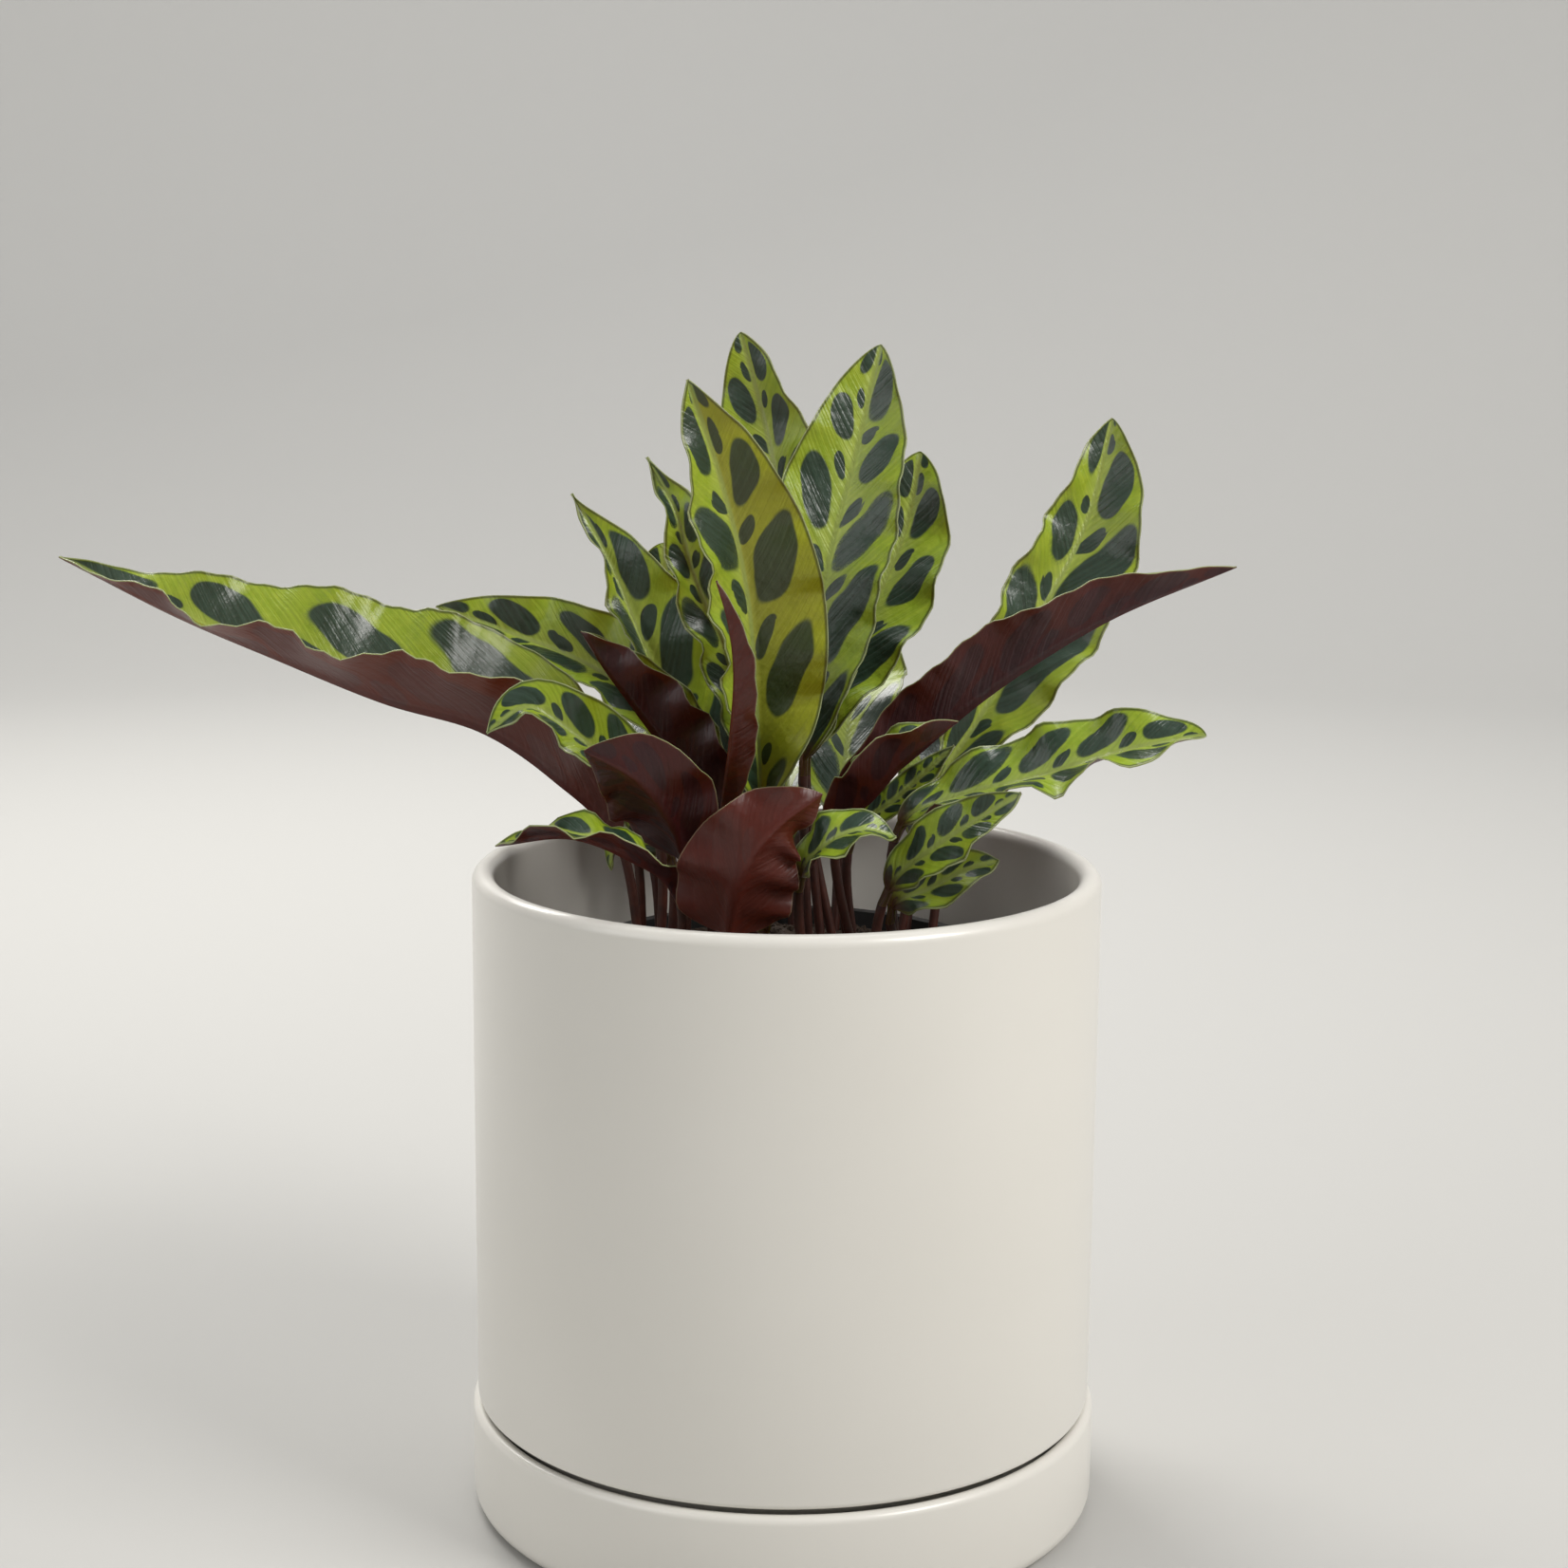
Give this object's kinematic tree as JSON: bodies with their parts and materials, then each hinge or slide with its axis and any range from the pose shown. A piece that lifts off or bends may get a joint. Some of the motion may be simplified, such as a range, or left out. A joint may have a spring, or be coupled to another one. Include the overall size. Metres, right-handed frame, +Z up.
{
  "type": "potted rattlesnake plant",
  "caption": "Rattlesnake plant with lance-shaped, wavy, dark-spotted leaves, maroon underneath, in a grower's pot inside a straight white glazed pot with a matching saucer.",
  "frame": {"origin": "on the surface that the saucer stands on, on the common vertical axis of the pot and saucer", "axes": "+Z up along the pot's axis; -Y is the front as pictured; +X is to the right seen from the front"},
  "size_m": [0.3596, 0.2519, 0.3762],
  "materials": {
    "white_glaze": "smooth off-white glaze, satin to gloss",
    "black_plastic": "moulded, dull black",
    "potting_soil": "loose dark mix of bark, peat and coir, crumbly and dull",
    "leaf": "living leaf, yellow-green with dark green ovals above, deep maroon below, slight waxy sheen"
  },
  "bodies": {
    "root": {"saucer": "white_glaze", "pot": "white_glaze", "grower_pot": "black_plastic", "soil": "potting_soil", "leaf_tall_front": "leaf", "leaf_tall_back": "leaf", "leaf_tall_middle": "leaf", "leaf_tall_right": "leaf", "leaf_inner_small": "leaf", "leaf_curled_tip": "leaf", "leaf_broad_left": "leaf", "leaf_short_behind": "leaf", "leaf_rolled_edge": "leaf", "leaf_folded_maroon": "leaf", "leaf_long_left": "leaf", "leaf_back_left": "leaf", "leaf_curled_left": "leaf", "leaf_dark_left": "leaf", "leaf_small_pale": "leaf", "leaf_over_rim": "leaf", "leaf_spear_left": "leaf", "leaf_small_hanging": "leaf", "leaf_front_maroon": "leaf", "leaf_front_small": "leaf", "sprout_front": "leaf", "leaf_upright_right": "leaf", "leaf_long_right": "leaf", "leaf_folded_right": "leaf", "leaf_sliver_right": "leaf", "leaf_waved_right": "leaf", "leaf_low_right": "leaf", "leaf_inner_right": "leaf", "leaf_rear_left_tall": "leaf", "leaf_rear_right_tall": "leaf", "leaf_rear_right_low": "leaf", "leaf_rear_left_low": "leaf", "leaf_rear_low": "leaf", "leaf_behind_right": "leaf"}
  },
  "joints": []
}
